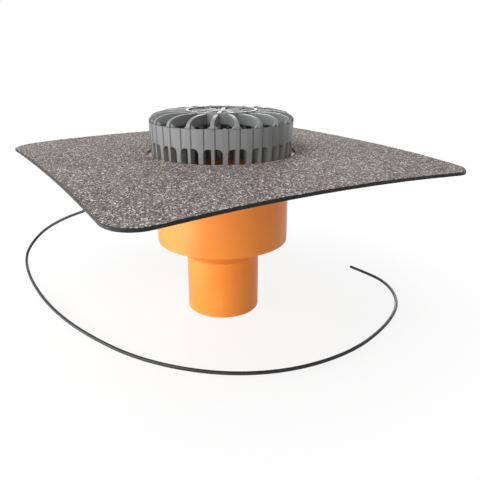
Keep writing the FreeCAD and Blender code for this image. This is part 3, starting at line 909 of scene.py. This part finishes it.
def guardWall(values):
    # The section at each angle goes up the outside, over the round top, down the inside and back
    # under the wall. The outside radius is foot radius + draft * height share, less the relief: it
    # drops by all of it beside a strip's far edge and comes back evenly up to the next strip.
    pitch = fullTurn / values["blades"]
    radius, firstSlot, secondSlot = slotPlaces(values)
    half, tiny = values["slotWidth"] / 2, 0.001 * mm
    quarter = np.linspace(0, math.pi / 2, values["slotSteps"])
    across = np.concatenate([
        [-half - tiny, -half + tiny],
        -half + values["slotSmall"] * (1 - np.cos(quarter[1:])),
        half - values["slotLarge"] * (1 - np.cos(quarter[::-1][:-1])),
        [half - tiny, half + tiny],
    ])
    slotTurns = np.arcsin(across / radius)
    stripEdges = np.array([
        values["ribStrip"] / 2, pitch / 2 - values["midStrip"] / 2,
        pitch / 2 + values["midStrip"] / 2, pitch - values["ribStrip"] / 2,
    ])
    slope = values["stripSlope"] * np.array([1, 0, 1, 0])
    turn = np.sort(np.concatenate([
        firstSlot + slotTurns, secondSlot - slotTurns, stripEdges, stripEdges + slope,
        np.linspace(0, pitch, values["wallSteps"], endpoint=False),
    ]))
    bends = np.sort(np.append(stripEdges, (stripEdges + slope)[::2]))
    raised = np.interp(turn, bends, [1, 0, 1, 1, 0, 1])
    underside = np.maximum(archHeight(radius * np.sin(turn - firstSlot), values),
                           archHeight(radius * np.sin(secondSlot - turn), values))
    top, rounding, edge = values["height"], values["rounding"], values["fineEdge"]
    # Rows up the wall as shares of its height, close together near its edges to keep it plain
    rise = np.array([0, 0.02, 0.5, 0.99, 1])[:, None]
    outerHeights = underside + edge + (top - rounding - underside - edge) * rise
    innerHeights = underside + edge + (top - edge - underside - edge) * rise[::-1]
    bend = np.linspace(0, math.pi / 2, values["bendSteps"])[1:, None]
    relief = values["relief"] * (1 - raised)

    def outside(height):
        return values["footRadius"] + values["draft"] * height / top - relief

    inside = values["footRadius"] - values["relief"] - values["wall"]
    innerRadii = inside + values["draft"] * innerHeights / top
    radii = np.concatenate([
        [outside(underside) - edge], outside(outerHeights),
        outside(top) - rounding * (1 - np.cos(bend)),
        [0 * turn + inside + values["draft"] + edge], innerRadii, [0 * turn + inside + edge],
    ])
    heights = np.concatenate([
        [underside], outerHeights, top - rounding * (1 - np.sin(bend)) + 0 * turn,
        [0 * turn + top], innerHeights, [underside],
    ])
    turns = (turn[None] + pitch * np.arange(values["blades"])[:, None]).ravel()
    radii = np.tile(radii, values["blades"])
    heights = np.tile(heights, values["blades"]) + values["foot"]
    return shell(np.stack([radii * np.cos(turns), radii * np.sin(turns), heights], -1))


def guardBlade(values, inner):
    # Sections across the blade from the wall to the inner radius. The top follows a quarter
    # ellipse: radius = flat + span cos a, height = straight + rise sin a. Each section is a slab
    # with round upper corners.
    rim = values["foot"] + values["height"]
    outer = values["footRadius"] + values["draft"]
    fin = values["footRadius"] - values["finDepth"]
    straight = rim + values["bladeStraight"]
    flatTop = rim + values["domeRise"]
    angle = np.linspace(0, math.pi / 2, values["bladeSteps"])
    radius = values["domeFlat"] + (outer - values["domeFlat"]) * np.cos(angle)
    height = straight + (flatTop - straight) * np.sin(angle)
    keep = radius > inner + 1 * mm
    endHeight = np.interp(inner, radius[::-1], height[::-1])
    radius = np.append(radius[keep], inner)
    height = np.append(height[keep], endHeight)
    lap = values["finDepth"] / 2
    low = np.interp(radius, [fin, fin + lap, outer - values["wall"], outer],
                    [rim, rim - lap, rim - lap, rim - values["rounding"]])
    bend = np.linspace(0, math.pi / 2, values["bendSteps"])[:, None]
    half, rounding = values["bladeThickness"] / 2, values["bladeRounding"]
    sideways = half - rounding * (1 - np.sin(bend))
    topward = height - rounding * (1 - np.cos(bend))
    flank = height - rounding - values["bladeShoulder"]
    across = [[[half], [half]], sideways[::-1], -sideways, [[-half], [-half]]]
    across = np.concatenate(across) + 0 * radius
    up = np.concatenate([[low, flank], topward[::-1], topward, [flank, low]])
    middle = ((low + height) / 2)[None, [0, -1]] + 0 * up[:, [0, -1]]
    across = np.concatenate([0 * up[:, :1], across, 0 * up[:, :1]], 1)
    up = np.concatenate([middle[:, :1], up, middle[:, 1:]], 1)
    along = np.concatenate([radius[:1], radius, radius[-1:]]) + 0 * up
    return shell(np.stack([along, across, up], -1), wrapColumns=False)


def guardFin(values, width, top, turns):
    # A plate behind the wall, with its upper inner corner cut off, once at each of the turns
    foot = values["foot"] - values["rounding"]
    inner = values["footRadius"] - values["finDepth"]
    outer = values["footRadius"] - values["wall"] / 2
    chamfer, edge = values["finDepth"] / 3, values["edge"]
    outline = roundedOutline([
        (inner, foot, 0), (outer, foot, 0), (outer, top, 0),
        (inner + chamfer, top, edge), (inner, top - chamfer, edge),
    ], steps=3)
    return turnedCopies(slab(outline, -width / 2, width / 2, (0, 2, 1)), turns)


def guardRing(radii, heights, edges, cornerSteps, steps=240):
    # A ring of rectangular section between two radii and two heights. edges gives how much each
    # corner is rounded: lower inner, lower outer, upper outer and upper inner.
    (inner, outer), (low, high) = radii, heights
    corners = [(inner, low), (outer, low), (outer, high), (inner, high)]
    outline = [(*corner, edge) for corner, edge in zip(corners, edges)]
    return turned(roundedOutline(outline, cornerSteps), steps)


def makeGuard(values):
    # Wall, fins, skirt, ring, hub, blades and gussets, each a closed shell, turned together by turn
    rim = values["foot"] + values["height"]
    pitch = fullTurn / values["blades"]
    ribTurns = pitch * np.arange(values["blades"])
    midTurns = ribTurns + pitch / 2 + values["midShift"]
    midTop = values["foot"] + values["slotHeight"] + values["finDepth"] / 2
    fine, edge, wide = values["fineEdge"], values["edge"], values["wideEdge"]
    skirt = (values["skirtRadius"] - values["skirtWall"], values["skirtRadius"])
    ring = (values["ringRadius"] - values["ringWall"], values["ringRadius"])
    hub = (0, values["hubRadius"])
    ringTop = rim + values["domeRise"] + values["ringStand"]
    hubTop = rim + values["domeRise"] + values["rounding"]
    skirtLow = values["foot"] - values["skirtDepth"]
    shells = [
        guardWall(values),
        guardFin(values, values["ribFin"], rim - values["rounding"], ribTurns),
        guardFin(values, values["midFin"], midTop, midTurns),
        guardRing(skirt, (skirtLow, values["foot"]), (fine, wide, 0, fine), 3),
        guardRing(ring, (rim, ringTop), (fine, fine, edge, edge), 6, values["ringSteps"]),
        guardRing(hub, (rim, hubTop), (0, fine, wide, 0), 5, values["hubSteps"]),
        turnedCopies(guardBlade(values, 0.0), ribTurns[1::2]),
        turnedCopies(guardBlade(values, sum(ring) / 2), ribTurns[::2]),
    ]
    # Gussets: small six-sided plates at the blades' feet, just behind the wall
    halfTop = values["bladeThickness"] / 2
    halfFoot = halfTop + values["gussetReach"]
    wallInside = values["footRadius"] + values["draft"] - values["relief"] - values["wall"]
    low, high = rim - values["gussetRise"], rim + values["gussetRise"]
    gusset = np.array([
        (-halfFoot, low), (halfFoot, low), (halfFoot, rim),
        (halfTop, high), (-halfTop, high), (-halfFoot, rim),
    ])
    front = wallInside + values["gussetLap"]
    plate = slab(gusset, front - values["gussetDepth"], front, (1, 2, 0))
    shells.append(turnedCopies(plate, ribTurns))
    whole = [turnedCopies(part, np.array([values["turn"]])) for part in shells]
    makePiece("leafGuard", whole, [greyPlastic(values)], "leaf_guard", sharp=35)


makeGuard(guard)


# CAD nodes that keep their shape get their finish

nodeFinishes = {
    "rim_gasket": "seal",
    "outlet_seal": "seal",
    "heating_band": "heater",
    "insulation_ring": "foam",
    "gland_washer": "seal",
    "gland_body": "gland",
    "gland_lock_nut": "gland",
    "gland_cap": "gland",
    "gland_bush": "seal",
    "cable_tail": "cable",
}
for nodeName, finishName in nodeFinishes.items():
    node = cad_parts[nodeName]
    for place in node.material_slots:
        place.material = finishes[finishName].material
print("CAD nodes finished:", len(nodeFinishes))


# Floor, background and lamps

studio = {
    "floorRadius": 6.0,
    "floorSteps": 64,
    "floorTone": tone(240, 240, 240),
    "floorGlow": 0.86,  # share of plain white that the camera sees in the floor near the drain
    "floorFade": (0.2, 0.5),  # from here to there it grows to plain white
    "ambient": 0.27,
    "mirrored": 0.7,  # how much of the white background shows in reflections
    "white": (1, 1, 1, 1),
    "lamps": [
        # name, degrees left of the camera, height in degrees, distance, width, height, watts
        ("keyLamp", 56, 50, 2.2, 1.3, 1.3, 28),
        ("lowLamp", 50, 8, 2.2, 1.4, 1.4, 15),
        ("sideLamp", 98, 4, 2.2, 0.9, 0.9, 9),
        ("frontLamp", 12, 16, 2.6, 1.6, 1.6, 18),
        ("backLamp", 190, 15, 2.4, 1.6, 1.6, 24),
        ("edgeLamp", 226, 5, 2.4, 0.8, 0.8, 6),
        ("underLamp", 66, -8.2, 0.62, 0.6, 0.09, 1.8),
    ],
    "aim": (0, 0, 0.15),
}


def makeFloor(values):
    # A disc, (r cos t, r sin t, 0), that shows its shadows near the drain and fades to plain white
    # further out. The camera, reflections and glass see the white, and other rays the floor's tone.
    fixed = {"Roughness": 0.9, "Base Color": values["floorTone"], "Specular IOR Level": 0.1}
    finish = Finish("floorFinish", fixed)
    camera = finish.node("ShaderNodeLightPath", output="Is Camera Ray")
    glossy, through = camera.beside("Is Glossy Ray"), camera.beside("Is Transmission Ray")
    seen = camera.maths("MAXIMUM", camera, camera.maths("MAXIMUM", glossy, through))
    fade = finish.fromAxis().between(*values["floorFade"])
    share = seen * (values["floorGlow"] + (1 - values["floorGlow"]) * fade)
    plain = Value(finish, finish.shader.outputs[0])
    glow = finish.node("ShaderNodeEmission", sockets={"Color": values["white"], "Strength": 1.0})
    mixed = finish.node("ShaderNodeMixShader", sockets={0: share, 1: plain, 2: glow})
    finish.tree.links.new(mixed.socket, finish.tree.nodes["Material Output"].inputs["Surface"])
    radius = np.array([0, values["floorRadius"]])[:, None]
    turn = np.linspace(0, fullTurn, values["floorSteps"] + 1)
    grid = np.stack([radius * np.cos(turn), radius * np.sin(turn), 0 * radius + 0 * turn], -1)
    index = np.arange(2 * len(turn)).reshape(2, -1)
    quads = np.stack([index[0, :-1], index[1, :-1], index[1, 1:], index[0, 1:]], -1)
    mesh = bpy.data.meshes.new("floor")
    mesh.from_pydata(grid.reshape(-1, 3), [], quads.tolist())
    mesh.materials.append(finish.material)
    floor = bpy.data.objects.new("floor", mesh)
    bpy.context.scene.collection.objects.link(floor)


def makeWorld(values):
    # It lights the object by the ambient strength, while the camera and glass see plain white, and
    # reflections a share of it
    world = bpy.data.worlds.new("studio")
    bpy.context.scene.world = world
    world.use_nodes = True
    world.node_tree.nodes.clear()
    nodes = Nodes(world.node_tree)
    camera = nodes.node("ShaderNodeLightPath", output="Is Camera Ray")
    glossy, through = camera.beside("Is Glossy Ray"), camera.beside("Is Transmission Ray")
    seen = glossy * values["mirrored"] + camera.maths("MAXIMUM", camera, through)
    backdrops = [
        nodes.node("ShaderNodeBackground", sockets={"Color": values["white"], "Strength": strength})
        for strength in (values["ambient"], 1.0)
    ]
    mixed = nodes.node("ShaderNodeMixShader", sockets={0: seen, 1: backdrops[0], 2: backdrops[1]})
    nodes.node("ShaderNodeOutputWorld", sockets={"Surface": mixed})


def makeLamps(values, view):
    # Each lamp stands at its bearing and height on a ball round the aim, and faces it
    aim = np.array(values["aim"])
    for name, aside, lift, distance, wide, high, power in values["lamps"]:
        bearing = math.radians(view["bearing"] + aside)
        lift = math.radians(lift)
        away = np.array([
            -math.sin(bearing) * math.cos(lift),
            -math.cos(bearing) * math.cos(lift),
            math.sin(lift),
        ])
        data = bpy.data.lights.new(name, "AREA")
        data.shape = "ELLIPSE"
        data.size = wide
        data.size_y = high
        data.energy = power
        lamp = bpy.data.objects.new(name, data)
        lamp.visible_camera = False
        lamp.location = aim + away * distance
        lamp.rotation_euler = (math.pi / 2 - lift, 0, -bearing)
        bpy.context.scene.collection.objects.link(lamp)


makeFloor(studio)
makeWorld(studio)
makeLamps(studio, cameraView)
bpy.context.scene.view_settings.view_transform = "Standard"
print("studio set")
